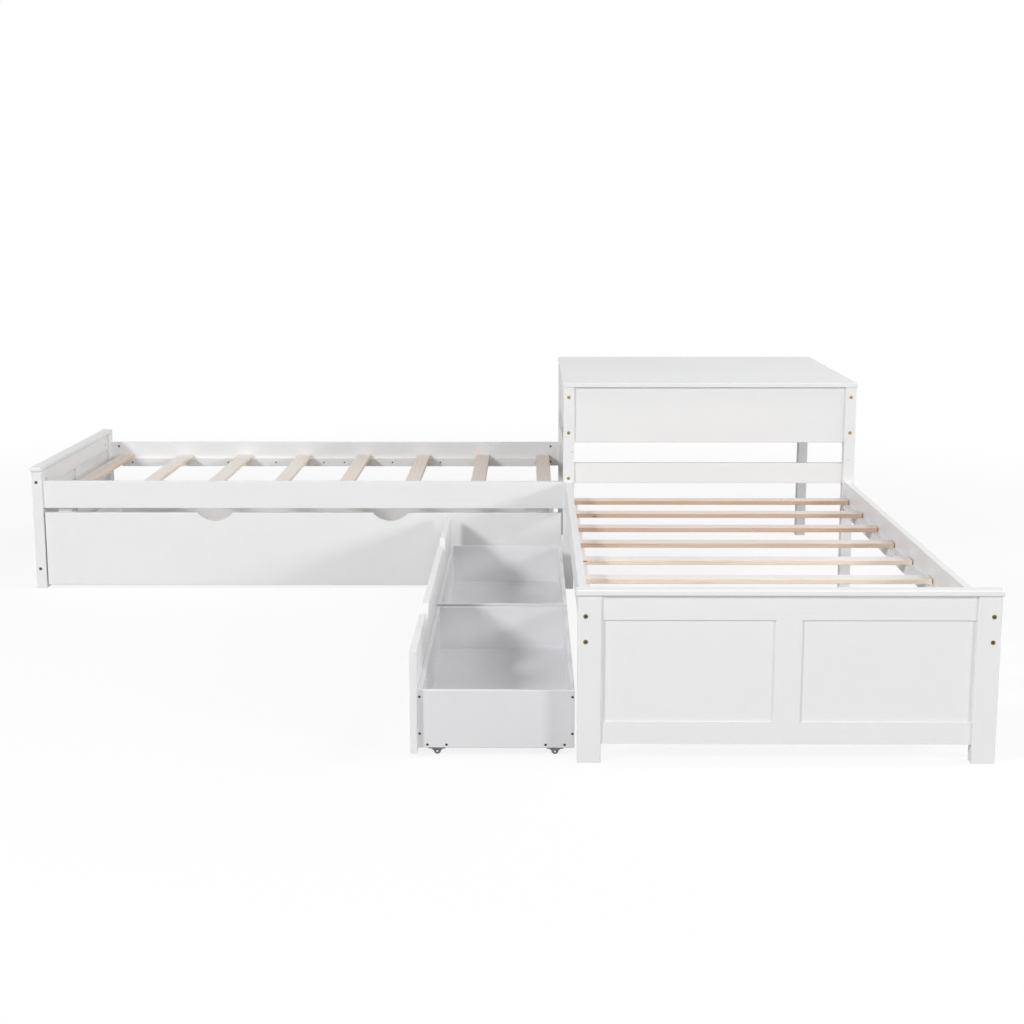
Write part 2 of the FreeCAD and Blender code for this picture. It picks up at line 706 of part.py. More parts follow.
def front_with_moons(label, size, at, moons, direction):
    """A tall front with half-moon finger cut-outs in its top edge; moons holds the cutting discs' centres."""
    for i, moon in enumerate(moons):
        disc = rod(f"{label}_moon_{i}", "place.moon_radius", "size.front_thickness", moon, direction)
        lay_hole(disc, label)
    return drilled(label, size, at, "yz" if direction == "+x" else "xz")


def make_drawer(name, start):
    """One drawer: a box on four casters behind a tall front. Its near and far sides run along x."""
    near_face = f"{start} + size.drawer_box_inset"
    far_face = f"{start} + place.drawer_length - size.drawer_box_inset"
    middle = f"{start} + place.drawer_length / 2"
    thick = "size.drawer_board_thickness"
    ends = {"front": ("place.drawer_box_front", "+"), "back": ("place.drawer_box_back", "-")}
    sides = {"near": (near_face, "+y", "+"), "far": (far_face, "-y", "-")}
    screw_lines = ("place.low_screw_line", "place.drawer_high_screw_line")

    bottom_size = (f"size.drawer_depth - 2 * {thick} + 2 * size.drawer_groove",
                   "place.drawer_end_length + 2 * size.drawer_groove", "size.drawer_bottom_thickness")
    bottom_at = (f"place.drawer_box_front + {thick} - size.drawer_groove",
                 f"{near_face} + {thick} - size.drawer_groove", "place.drawer_bottom_lift")
    bottom = board(f"{name}_bottom", bottom_size, bottom_at)

    screws = []
    blocks = []
    forks = []
    wheels = {"front": [], "back": []}
    for side, (face, inward, sign) in sides.items():
        lay_hole(bottom, f"{name}_{side}_side")
        for end, (end_face, end_sign) in ends.items():
            corner = f"{end_face} {end_sign} {thick} / 2"
            for level in screw_lines:
                screws.append(screw(f"{name}_{side}_{end}_screw", drawer_screw_model, (corner, face, level),
                                    inward, f"{name}_{side}_side", f"{name}_{end}_end"))
            axle = f"{end_face} {end_sign} size.drawer_caster_inset"
            block = f"{name}_{side}_{end}_block"
            for step in rail_ends.values():
                at = (f"{axle} {step} size.caster_screw_spread", face, "place.caster_screw_line")
                screws.append(screw(f"{block}_screw", drawer_screw_model, at, inward,
                                    f"{name}_{side}_side", block))
            block_face = f"{face} {sign} {thick}" if sign == "+" else f"{face} - {thick} - size.block_width"
            blocks.append(drilled(block, ("size.block_length", "size.block_width", "size.block_height"),
                                  (f"{axle} - size.block_length / 2", block_face, "size.caster_height")))
            wheel_at = (axle, f"{face} {sign} size.caster_setback", "size.wheel_radius")
            caster = caster_parts(f"{name}_{side}_{end}_caster", wheel_at, inward)
            forks.append(caster[0])
            wheels[end].append(caster[1])
    for step in rail_ends.values():
        for level in screw_lines:
            at = (f"place.drawer_box_front + {thick}", f"{middle} {step} size.front_screw_spread", level)
            screws.append(screw(f"{name}_front_screw", drawer_screw_model, at, "-x",
                                f"{name}_front_end", f"{name}_front"))

    boards = []
    for side, at_y in (("near", near_face), ("far", f"{far_face} - {thick}")):
        boards.append(drilled(f"{name}_{side}_side", ("size.drawer_depth", thick, "size.drawer_box_height"),
                              ("place.drawer_box_front", at_y, "size.caster_height"), "x"))
    for end, at_x in (("front", "place.drawer_box_front"), ("back", f"place.drawer_box_back - {thick}")):
        lay_hole(bottom, f"{name}_{end}_end")
        boards.append(drilled(f"{name}_{end}_end",
                              (thick, "place.drawer_end_length", "size.drawer_box_height"),
                              (at_x, f"{near_face} + {thick}", "size.caster_height"), "y"))

    moon = ("place.drawer_face", middle,
            "size.drawer_front_lift + place.drawer_front_height + place.moon_radius - size.moon_depth")
    front_size = ("size.front_thickness", "place.drawer_length", "place.drawer_front_height")
    keep(front_with_moons(f"{name}_front", front_size,
                          ("place.drawer_face", start, "size.drawer_front_lift"), [moon], "+x"))
    keep(group(f"{name}_box", boards), bottom, group(f"{name}_caster_blocks", blocks),
         group(f"{name}_screws", screws), group(f"{name}_caster_forks", forks),
         group(f"{name}_front_wheels", wheels["front"]), group(f"{name}_rear_wheels", wheels["back"]))


# Trundle bed


def make_trundle():
    """A shallow slatted box on four casters behind a tall front; its end boards run along y."""
    thick = "size.trundle_board_thickness"
    sides = {"left": ("place.trundle_left_face", "+x", "+"), "right": ("place.trundle_right_face", "-x", "-")}
    axles = {"front": "place.trundle_front_axle", "rear": "place.trundle_rear_axle"}
    middle = "place.trundle_start + place.trundle_length / 2"

    screws = []
    battens = []
    forks = []
    wheels = {"front": [], "rear": []}
    for side, (face, inward, sign) in sides.items():
        end_board = f"trundle_{side}_end"
        for row, axle in axles.items():
            block = f"trundle_{side}_{row}_block"
            for step in rail_ends.values():
                at = (face, f"{axle} {step} size.caster_screw_spread", "place.caster_screw_line")
                screws.append(screw(f"{block}_screw", board_screw_model, at, inward, end_board, block))
            block_face = f"{face} + {thick}" if sign == "+" else f"{face} - {thick} - size.block_width"
            battens.append(drilled(block, ("size.block_width", "size.block_length", "size.block_height"),
                                   (block_face, f"{axle} - size.block_length / 2", "size.caster_height")))
            wheel_at = (f"{face} {sign} size.caster_setback", axle, "size.wheel_radius")
            caster = caster_parts(f"trundle_{side}_{row}_caster", wheel_at, inward)
            forks.append(caster[0])
            wheels[row].append(caster[1])
        for level in ("place.low_screw_line", "place.trundle_high_screw_line"):
            at = (f"{face} {sign} {thick} / 2", "place.trundle_back", level)
            screws.append(screw(f"{end_board}_screw", board_screw_model, at, "-y", "trundle_back", end_board))

    back_ledger = "place.trundle_back_inside - size.ledger_width"
    ledgers = {"front": ("place.trundle_inside", "place.trundle_inside + size.ledger_width", "-y"),
               "back": (back_ledger, back_ledger, "+y")}
    for name, (start, face, direction) in ledgers.items():
        for i in range(trundle_screw_count):
            step = i - (trundle_screw_count - 1) / 2
            at = (f"{middle} + {step} * place.trundle_screw_pitch", face,
                  "size.trundle_ledger_lift + size.trundle_ledger_height / 2")
            screws.append(screw(f"trundle_{name}_ledger_screw_{i}", ledger_screw_model, at, direction,
                                f"trundle_{name}_ledger", f"trundle_{name}"))
        battens.append(drilled(f"trundle_{name}_ledger",
                               ("place.trundle_inner_length", "size.ledger_width", "size.trundle_ledger_height"),
                               ("place.trundle_left_inside", start, "size.trundle_ledger_lift")))

    boards = [drilled("trundle_back", ("place.trundle_box_length", thick, "size.trundle_box_height"),
                      ("place.trundle_left_face", "place.trundle_back_inside", "size.caster_height"), "x")]
    for side, at_x in (("left", "place.trundle_left_face"), ("right", f"place.trundle_right_face - {thick}")):
        boards.append(drilled(f"trundle_{side}_end",
                              (thick, "place.trundle_width", "size.trundle_box_height"),
                              (at_x, "place.trundle_inside", "size.caster_height"), "y"))

    slats = []
    slat_size = ("size.slat_width", "place.trundle_width - 2 * size.slat_end_gap", "size.slat_thickness")
    for i in range(slat_count):
        step = i - (slat_count - 1) / 2
        at = (f"{middle} + {step} * place.trundle_slat_pitch - size.slat_width / 2",
              "place.trundle_inside + size.slat_end_gap",
              "size.trundle_ledger_lift + size.trundle_ledger_height")
        slats.append(eased(f"trundle_slat_{i}", slat_size, at, "y"))

    top = "size.trundle_front_lift + place.trundle_front_height"
    moons = [(f"{middle} {step} size.trundle_moon_spread", "place.inner_rail",
              f"{top} + place.moon_radius - size.moon_depth") for step in rail_ends.values()]
    front_size = ("place.trundle_length", "size.front_thickness", "place.trundle_front_height")
    front_at = ("place.trundle_start", "place.inner_rail", "size.trundle_front_lift")
    keep(front_with_moons("trundle_front", front_size, front_at, moons, "+y"))
    keep(group("trundle_boards", boards), group("trundle_battens", battens), group("trundle_slats", slats),
         group("trundle_screws", screws), group("trundle_caster_forks", forks),
         group("trundle_front_wheels", wheels["front"]), group("trundle_rear_wheels", wheels["rear"]))


def make_stop_blocks():
    """Two blocks under the left bed's inner ledger that the trundle's front closes against."""
    starts = {"foot": "place.ledger_start",
              "desk": "place.corner - size.stop_block_leg_gap - size.stop_block_length"}
    block_size = ("size.stop_block_length", "size.ledger_width", "size.stop_block_height")
    blocks = [board(f"{end}_stop_block", block_size,
                    (start, "place.inner_ledger", "place.rail_lift - size.stop_block_height"))
              for end, start in starts.items()]
    keep(group("stop_blocks", blocks))


ledger_screws = []
for bed in beds:
    bolt_bed(bed)
    ledger_screws += screw_ledgers(bed)
bolt_desk()
ledgers = []
for bed in beds:
    make_footboard(bed)
    ledgers += make_side_rails(bed)
    make_slats(bed)
keep(group("slat_ledgers", ledgers))
make_desk()
make_stop_blocks()
keep(group("connector_bolts", bolts), group("barrel_nuts", nuts), group("ledger_screws", ledger_screws))
for name in ("near_drawer", "far_drawer"):
    make_drawer(name, f"place.{name}")
make_trundle()
doc.recompute()

for item in doc.Objects:
    if {"Invalid", "Error"} & set(item.State):
        raise RuntimeError(f"{item.Label} failed: {item.State}")
for node in nodes:
    if node.Shape.isNull() or not node.Shape.isValid() or not node.Shape.Solids:
        raise RuntimeError(f"{node.Label} has no valid solid")

os.makedirs("parts", exist_ok=True)
for node in nodes:
    node.Shape.exportStep(f"parts/{node.Label}.step")
    print(node.Label, len(node.Shape.Solids))
print(len(nodes), "nodes")
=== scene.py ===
import math

import bmesh
import bpy
from mathutils import Matrix, Vector


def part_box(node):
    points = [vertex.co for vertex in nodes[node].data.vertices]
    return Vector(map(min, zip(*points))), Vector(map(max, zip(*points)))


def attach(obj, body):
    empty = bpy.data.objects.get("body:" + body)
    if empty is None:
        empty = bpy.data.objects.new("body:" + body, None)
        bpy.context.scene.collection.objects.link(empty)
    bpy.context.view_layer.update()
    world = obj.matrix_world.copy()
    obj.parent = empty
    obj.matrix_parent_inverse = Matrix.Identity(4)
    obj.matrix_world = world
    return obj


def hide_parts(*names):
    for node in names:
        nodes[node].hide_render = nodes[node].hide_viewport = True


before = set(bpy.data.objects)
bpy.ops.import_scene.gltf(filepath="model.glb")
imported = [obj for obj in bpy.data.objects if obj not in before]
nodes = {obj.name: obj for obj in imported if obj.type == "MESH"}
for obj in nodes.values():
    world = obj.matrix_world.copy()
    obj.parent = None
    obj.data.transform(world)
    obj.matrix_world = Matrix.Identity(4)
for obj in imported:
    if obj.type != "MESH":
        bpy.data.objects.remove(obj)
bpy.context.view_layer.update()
mm = 0.001
print("frame loaded:", len(nodes), "nodes")


# shader maths

class Flow:  # one socket of a node tree, with arithmetic
    def __init__(self, tree, socket=None):
        self.tree = tree
        self.socket = socket

    def add(self, kind, settings=None, inputs=None, output=0):
        node = self.tree.nodes.new(kind)
        for name, value in (settings or {}).items():
            if name == "stops":
                ramp = node.color_ramp.elements
                while len(ramp) < len(value):
                    ramp.new(1.0)
                for element, (place, colour) in zip(ramp, value):
                    element.position = place
                    element.color = (*colour, 1.0)
            else:
                setattr(node, name, value)
        for name, value in (inputs or {}).items():
            if isinstance(value, Flow):
                self.tree.links.new(value.socket, node.inputs[name])
            else:
                node.inputs[name].default_value = value
        return Flow(self.tree, node.outputs[output] if len(node.outputs) else None)

    def math(self, operation, first, second=0.0):
        return self.add("ShaderNodeMath", {"operation": operation}, {0: first, 1: second})

    def __add__(self, other): return self.math("ADD", self, other)
    def __radd__(self, other): return self.math("ADD", other, self)
    def __sub__(self, other): return self.math("SUBTRACT", self, other)
    def __rsub__(self, other): return self.math("SUBTRACT", other, self)
    def __mul__(self, other): return self.math("MULTIPLY", self, other)
    def __rmul__(self, other): return self.math("MULTIPLY", other, self)
    def __truediv__(self, other): return self.math("DIVIDE", self, other)
    def __rtruediv__(self, other): return self.math("DIVIDE", other, self)
    def __pow__(self, other): return self.math("POWER", self, other)
    def __abs__(self): return self.math("ABSOLUTE", self)

    def floor(self): return self.math("FLOOR", self)
    def fract(self): return self.math("FRACT", self)
    def clip(self, low, high): return self.math("MINIMUM", self.math("MAXIMUM", self, low), high)
    def swing(self, amount): return amount * (self - 0.5)  # noise about zero

    def step(self, low, high):  # smooth rise from 0 at low to 1 at high
        return self.add("ShaderNodeMapRange", {"interpolation_type": "SMOOTHSTEP"},
                        {"Value": self, "From Min": low, "From Max": high})

    def mix(self, first, second):  # colours by this factor
        node = self.add("ShaderNodeMix", {"data_type": "RGBA"}).socket.node
        sockets = {0: self, 6: first, 7: second}
        for number, value in sockets.items():
            if isinstance(value, Flow):
                self.tree.links.new(value.socket, node.inputs[number])
            else:
                node.inputs[number].default_value = (*value, 1.0)
        return Flow(self.tree, node.outputs[2])


def newMaterial(name):
    material = bpy.data.materials.new(name)
    material.use_nodes = True
    material.node_tree.nodes.clear()
    return material, Flow(material.node_tree)


def finishMaterial(flow, constants, varying):
    surface = flow.add("ShaderNodeBsdfPrincipled", {}, {**constants, **varying})
    flow.add("ShaderNodeOutputMaterial", {}, {"Surface": surface})


def objectPlace(flow):
    return flow.add("ShaderNodeTexCoord", {}, {}, "Object")


def splitAxes(flow, place):
    split = flow.add("ShaderNodeSeparateXYZ", {}, {0: place}).socket.node
    return {axis: Flow(flow.tree, split.outputs[axis.upper()]) for axis in "xyz"}


def noise(flow, vector, scale=1.0, detail=2.0, rough=0.5):
    return flow.add("ShaderNodeTexNoise", {}, {"Vector": vector, "Scale": scale, "Detail": detail,
                                               "Roughness": rough})


def stretched(flow, place, along, length, width):  # noise cells of length along one axis and width across it
    scale = [1 / width] * 3
    if along:
        scale["xyz".index(along)] = 1 / length
    return flow.add("ShaderNodeMapping", {}, {"Vector": place, "Scale": scale})


def bump(flow, height, strength, distance):
    return flow.add("ShaderNodeBump", {}, {"Height": height, "Strength": strength, "Distance": distance})


# white paint

paintLook = {
    "white": (0.836, 0.835, 0.836),
    "shade": (0.815, 0.815, 0.819),
    "shadeRange": (0.36, 0.70),
    "cloudSize": 0.45,
    "cloudShare": 0.55,  # of the shade; the rest follows the grain
    "grainLength": 0.50,
    "grainWidth": 0.008,
    "grainHeight": 0.8,
    "peelSize": 0.0035,
    "peelHeight": 0.12,
    "bumpStrength": 0.10,
    "bumpDistance": 1.2 * mm,
    "roughness": 0.40,
    "cloudRoughness": 0.10,
    "grainRoughness": 0.06,
    "jointLevels": (),  # heights of glue lines that show through the paint
    "jointEdge": (0.4 * mm, 1.6 * mm),
    "jointShade": 0.8,
    "jointDepth": 1.5,
}
smoothLook = {**paintLook, "grainWidth": 0.05, "bumpStrength": 0.05}  # panels, which show no grain
# The desk top's white is a touch darker and cooler than the other paint: painted shade, as the top takes less
# of the light than the fronts.
topLook = {**smoothLook, "white": (0.830, 0.832, 0.842), "shade": (0.815, 0.817, 0.828), "roughness": 0.36}
apronLook = {**paintLook, "jointLevels": (0.606, 0.686)}
# The drawer boards are a light grey board, darkened and cooled further as painted shade for the dim insides
# of the drawers.
boardLook = {
    **smoothLook,
    "white": (0.752, 0.750, 0.764),
    "shade": (0.729, 0.727, 0.742),
    "roughness": 0.30,
    "cloudSize": 0.30,
    "peelSize": 0.004,
}
paints = {  # which way the grain runs, and the look
    "paintX": ("x", paintLook),
    "paintY": ("y", paintLook),
    "paintZ": ("z", paintLook),
    "paintApron": ("x", apronLook),
    "paintSmooth": (None, smoothLook),
    "paintTop": (None, topLook),
    "drawerBoard": (None, boardLook),
}


def whitePaint(name, along, look):
    material, flow = newMaterial(name)
    place = objectPlace(flow)
    grainCells = stretched(flow, place, along, look["grainLength"], look["grainWidth"])
    grain = noise(flow, grainCells, detail=5.0, rough=0.6)
    cloud = noise(flow, place, 1 / look["cloudSize"])
    peel = noise(flow, place, 1 / look["peelSize"], detail=1.0)
    tone = (look["cloudShare"] * cloud + (1.0 - look["cloudShare"]) * grain).step(*look["shadeRange"])
    height = look["grainHeight"] * grain + look["peelHeight"] * peel
    for level in look["jointLevels"]:
        joint = 1.0 - abs(splitAxes(flow, place)["z"] - level).step(*look["jointEdge"])
        tone = (tone + look["jointShade"] * joint).clip(0.0, 1.0)
        height = height - look["jointDepth"] * joint
    rough = look["roughness"] + cloud.swing(look["cloudRoughness"]) + grain.swing(look["grainRoughness"])
    finishMaterial(flow, {"Specular IOR Level": 0.5, "IOR": 1.47}, {
        "Base Color": tone.mix(look["white"], look["shade"]),
        "Roughness": rough,
        "Normal": bump(flow, height, look["bumpStrength"], look["bumpDistance"]),
    })
    return material


# bare slats

slatLook = {
    "width": 56 * mm,
    "seed": 0.37,
    "lengthShift": 9.0,
    "pale": (0.950, 0.855, 0.735),
    "rosy": (0.620, 0.435, 0.320),
    "blushSwing": 0.8,
    "bowScale": (1.7, 3.7),  # along a slat, and from slat to slat
    "heartSway": 0.09,
    "heartBow": 0.05,
    "heartDepth": (0.012, 0.050),  # the least, and what chance adds
    "ring": (0.790, 0.620, 0.460),
    "rosyRing": (0.530, 0.345, 0.235),
    "ringGap": 4.2 * mm,
    "ringEdge": (0.30, 0.95),
    "ringCover": 0.50,
    "wanderCell": (0.16, 0.006),
    "wanderPush": 0.007,
    "fibreCell": (0.05, 0.0011),
    "fibreCover": 0.35,
    "fibreLevel": 0.35,
    "coverMost": 0.8,
    "streak": (0.420, 0.270, 0.180),
    "streakCell": (0.22, 0.0028),
    "streakEdge": (0.60, 0.74),
    "streakCover": 0.60,
    "knot": (0.190, 0.100, 0.055),
    "knotGap": (0.22, 0.050),
    "knotCore": (0.022, 0.050),
    "knotHalo": (0.05, 0.34),
    "knotPush": 0.012,  # how far a knot bends the rings
    "knotCover": 0.92,
    # a paler colour on faces that look up: a painted highlight on the slats' tops
    "litTopPale": (0.900, 0.865, 0.835),
    "litTopRosy": (0.895, 0.800, 0.722),
    "litTopFacing": (0.6, 0.95),
    "litTopCover": 0.80,
    "litTopRings": 0.3,
    "roughness": 0.50,
    "fibreRoughness": 0.12,
    "ringGloss": 0.08,
    "ringHeight": 0.5,
    "bumpStrength": 0.25,
    "bumpDistance": 0.6 * mm,
}
slatRows = {  # tones: how rosy each slat is, from the foot of the bed to the desk
    "frontSlats": {"node": "front_bed_slats", "along": "x", "across": "y",
                   "tones": (0.30, 0.50, 0.00, 0.10, 0.75, 0.90, 1.00, 0.95)},
    # The left bed's first tone, 0.60, is partly painted shade, as that slat lies partly in shadow.
    "leftSlats": {"node": "left_bed_slats", "along": "y", "across": "x",
                  "tones": (0.60, 0.05, 0.10, 0.10, 0.55, 0.80, 0.90, 0.50)},
    "trundleSlats": {"node": "trundle_slats", "along": "y", "across": "x",
                     "tones": (0.20, 0.70, 0.40, 0.10, 0.80, 0.30, 0.60, 0.50)},
}


def slatPlaces(node, across, count, width):  # where a row of slats starts, how far apart they lie, their top
    low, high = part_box(node)
    axis = "xyz".index(across)
    pitch = (high[axis] - low[axis] - width) / (count - 1)
    return low[axis] + width / 2 - pitch / 2, pitch, high.z


def slatWood(name, row, look):
    material, flow = newMaterial(name)
    place = objectPlace(flow)
    axes = splitAxes(flow, place)
    along, across, tones = row["along"], row["across"], row["tones"]
    first, pitch, top = slatPlaces(row["node"], across, len(tones), look["width"])
    # each slat is sawn from its own tree
    number = ((axes[across] - first) / pitch).floor()
    chance = flow.add("ShaderNodeTexWhiteNoise", {"noise_dimensions": "1D"},
                      {"W": number + look["seed"]}, "Color")
    picks = flow.add("ShaderNodeSeparateColor", {}, {"Color": chance}).socket.node
    pick = [Flow(flow.tree, picks.outputs[i]) for i in range(3)]
    stops = [((i + 0.5) / len(tones), (tone, tone, tone)) for i, tone in enumerate(tones)]
    rosiness = flow.add("ShaderNodeValToRGB", {"stops": stops}, {"Fac": (number + 0.5) / len(tones)})
    sideways = axes[across] - first - (number + 0.5) * pitch
    upward = axes["z"] - top
    lengthwise = axes[along] + look["lengthShift"] * pick[0]
    # knots, as cells stretched along the slat
    knotLength, knotWidth = look["knotGap"]
    cell = flow.add("ShaderNodeCombineXYZ", {}, {"X": lengthwise / knotLength,
                                                 "Y": (sideways + pick[1]) / knotWidth,
                                                 "Z": upward / knotWidth})
    knot = flow.add("ShaderNodeTexVoronoi", {"voronoi_dimensions": "3D"},
                    {"Vector": cell, "Scale": 1.0, "Randomness": 1.0}, "Distance")
    knotCore = 1.0 - knot.step(*look["knotCore"])
    knotHalo = 1.0 - knot.step(*look["knotHalo"])
    # growth rings round a heart that lies under each slat at its own place
    bowAlong, bowAcross = look["bowScale"]
    bowPlace = flow.add("ShaderNodeCombineXYZ", {}, {"X": lengthwise * bowAlong, "Y": number * bowAcross,
                                                     "Z": 0.0})
    bow = noise(flow, bowPlace)
    wander = noise(flow, stretched(flow, place, along, *look["wanderCell"]), detail=4.0, rough=0.62)
    leastDepth, moreDepth = look["heartDepth"]
    fromSide = sideways + pick[1].swing(look["heartSway"]) + bow.swing(look["heartBow"])
    fromBelow = upward + leastDepth + moreDepth * pick[2]
    reach = (fromSide * fromSide + fromBelow * fromBelow) ** 0.5
    reach = reach + look["wanderPush"] * wander + look["knotPush"] * knotHalo
    ring = (reach / look["ringGap"]).fract().step(*look["ringEdge"])
    fibre = noise(flow, stretched(flow, place, along, *look["fibreCell"]), detail=3.0, rough=0.65)
    streak = noise(flow, stretched(flow, place, along, *look["streakCell"])).step(*look["streakEdge"])
    # colours, laid over each other
    blush = (rosiness + bow.swing(look["blushSwing"])).clip(0.0, 1.0)
    body = blush.mix(look["pale"], look["rosy"])
    rings = blush.mix(look["ring"], look["rosyRing"])
    ringShare = look["ringCover"] * ring + look["fibreCover"] * (fibre - look["fibreLevel"])
    ringed = ringShare.clip(0.0, look["coverMost"]).mix(body, rings)
    streaked = (look["streakCover"] * streak).mix(ringed, look["streak"])
    # Faces that look up turn paler: a painted highlight where the light falls on the slats' tops.
    normal = flow.add("ShaderNodeNewGeometry", {}, {}, "Normal")
    facing = flow.add("ShaderNodeSeparateXYZ", {}, {0: normal}, "Z").step(*look["litTopFacing"])
    litTopColour = blush.mix(look["litTopPale"], look["litTopRosy"])
    withLitTop = (look["litTopCover"] * facing * (1.0 - look["litTopRings"] * ring)).mix(streaked, litTopColour)
    finishMaterial(flow, {"Specular IOR Level": 0.45}, {
        "Base Color": (look["knotCover"] * knotCore).mix(withLitTop, look["knot"]),
        "Roughness": look["roughness"] + fibre.swing(look["fibreRoughness"]) - look["ringGloss"] * ring,
        "Normal": bump(flow, fibre + look["ringHeight"] * ring, look["bumpStrength"], look["bumpDistance"]),
    })
    return material


# caster wheels and leg plugs

plasticLooks = {
    "wheelPlastic": {"tones": ((0.045, 0.045, 0.047), (0.075, 0.074, 0.073)), "grain": 260.0, "shine": 0.4,
                     "roughness": 0.48, "roughnessSwing": 0.2, "bumpStrength": 0.2, "bumpDistance": 0.3 * mm},
    "plugPlastic": {"tones": ((0.70, 0.70, 0.71), (0.64, 0.64, 0.65)), "grain": 400.0, "shine": 0.45,
                    "roughness": 0.42, "roughnessSwing": 0.15, "bumpStrength": 0.1, "bumpDistance": 0.2 * mm},
}


def mottledPlastic(name, look):
    material, flow = newMaterial(name)
    mottle = noise(flow, objectPlace(flow), look["grain"], detail=3.0)
    finishMaterial(flow, {"Specular IOR Level": look["shine"]}, {
        "Base Color": mottle.step(0.35, 0.7).mix(*look["tones"]),
        "Roughness": look["roughness"] + mottle.swing(look["roughnessSwing"]),
        "Normal": bump(flow, mottle, look["bumpStrength"], look["bumpDistance"]),
    })
    return material


# bolts, nuts, screws and casters

metalLooks = {
    "boltBrass": {"bright": (0.56, 0.420, 0.230), "dull": (0.32, 0.230, 0.112), "grime": (0.05, 0.040, 0.020),
                  "roughness": 0.27, "spot": 0.005},
    "nutSteel": {"bright": (0.20, 0.20, 0.21), "dull": (0.11, 0.11, 0.12), "grime": (0.03, 0.03, 0.03),
                 "roughness": 0.34, "spot": 0.004},
    "rivetZinc": {"bright": (0.88, 0.88, 0.89), "dull": (0.70, 0.70, 0.72), "grime": (0.30, 0.30, 0.30),
                  "roughness": 0.24, "spot": 0.003},
    "screwDark": {"bright": (0.135, 0.095, 0.070), "dull": (0.070, 0.050, 0.038),
                  "grime": (0.015, 0.012, 0.010), "roughness": 0.36, "spot": 0.003},
    "casterSteel": {"bright": (0.185, 0.188, 0.192), "dull": (0.120, 0.122, 0.126),
                    "grime": (0.03, 0.03, 0.03), "roughness": 0.46, "spot": 0.006},
}
metalSurface = {
    "dullRange": (0.42, 0.68),
    "scuffCell": (0.01, 0.0006),
    "spotRoughness": 0.25,
    "scuffRoughness": 0.12,
    "shadeRoughness": 0.3,
    "spotHeight": 0.6,
    "scuffHeight": 0.4,
    "bumpStrength": 0.15,
    "bumpDistance": 0.2 * mm,
}


def plainMetal(name, look, surface):
    material, flow = newMaterial(name)
    place = objectPlace(flow)
    mottle = noise(flow, place, 1 / look["spot"], detail=3.0, rough=0.6)
    scuff = noise(flow, stretched(flow, place, "z", *surface["scuffCell"]))
    # The attribute paints shade into fasteners' recesses and round bolt rims, and darkens the footboard bolts
    # all over.
    grime = flow.add("ShaderNodeAttribute", {"attribute_name": "grime"}, {}, "Fac").clip(0.0, 1.0)
    metal = mottle.step(*surface["dullRange"]).mix(look["bright"], look["dull"])
    uneven = mottle.swing(surface["spotRoughness"]) + scuff.swing(surface["scuffRoughness"])
    height = surface["spotHeight"] * mottle + surface["scuffHeight"] * scuff
    finishMaterial(flow, {"Metallic": 1.0}, {
        "Base Color": grime.mix(metal, look["grime"]),
        "Roughness": look["roughness"] + uneven + surface["shadeRoughness"] * grime,
        "Normal": bump(flow, height, surface["bumpStrength"], surface["bumpDistance"]),
    })
    return material


finishes = {}
for name, (along, look) in paints.items():
    finishes[name] = whitePaint(name, along, look)
for name, row in slatRows.items():
    finishes[name] = slatWood(name, row, slatLook)
for name, look in plasticLooks.items():
    finishes[name] = mottledPlastic(name, look)
for name, look in metalLooks.items():
    finishes[name] = plainMetal(name, look, metalSurface)

boardFinish = {
    "paintX": ["left_bed_inner_rail", "left_bed_outer_rail", "front_bed_top_rail", "front_bed_bottom_rail",
               "front_bed_cap", "desk_front_guard"],
    "paintY": ["front_bed_inner_rail", "front_bed_outer_rail", "left_bed_top_rail", "left_bed_bottom_rail",
               "left_bed_cap", "desk_left_apron", "desk_right_apron", "desk_left_guard"],
    "paintZ": ["front_bed_inner_post", "front_bed_outer_post", "front_bed_stile", "left_bed_inner_post",
               "left_bed_outer_post", "left_bed_stile", "desk_front_left_leg", "desk_front_right_leg",
               "desk_back_left_leg", "desk_back_right_leg"],
    "paintApron": ["desk_front_apron", "desk_back_apron"],
    "paintTop": ["desk_top"],
    "paintSmooth": ["front_bed_panels", "left_bed_panels", "near_drawer_front", "far_drawer_front",
                    "trundle_front", "slat_ledgers", "stop_blocks", "trundle_boards", "trundle_battens",
                    "near_drawer_caster_blocks", "far_drawer_caster_blocks"],
    "drawerBoard": ["near_drawer_box", "far_drawer_box", "near_drawer_bottom", "far_drawer_bottom"],
    "frontSlats": ["front_bed_slats"],
    "leftSlats": ["left_bed_slats"],
    "trundleSlats": ["trundle_slats"],
    "boltBrass": ["connector_bolts"],
    "nutSteel": ["barrel_nuts"],
    "screwDark": ["ledger_screws", "near_drawer_screws", "far_drawer_screws", "trundle_screws"],
    "casterSteel": ["near_drawer_caster_forks", "far_drawer_caster_forks", "trundle_caster_forks"],
    "wheelPlastic": [f"{owner}_{row}_wheels" for owner in ("near_drawer", "far_drawer", "trundle")
                     for row in ("front", "rear")],
}
for finish, members in boardFinish.items():
    for member in members:
        nodes[member].data.materials.clear()
        nodes[member].data.materials.append(finishes[finish])
print("finishes laid on", sum(len(members) for members in boardFinish.values()), "nodes")


# ways to model a piece by hand

slack = {
    "level": 0.02 * mm,  # edges this near a height lie at it
    "weld": 0.001 * mm,
    "end": 0.5 * mm,  # points this near a fastener's end belong to it
    "skin": 0.1 * mm,  # painted shade starts this far in
}


def startPiece(adder, **settings):  # a primitive, alone selected
    if bpy.context.mode != "OBJECT":
        bpy.ops.object.mode_set(mode="OBJECT")
    bpy.ops.object.select_all(action="DESELECT")
    adder(**settings)
    return bpy.context.object


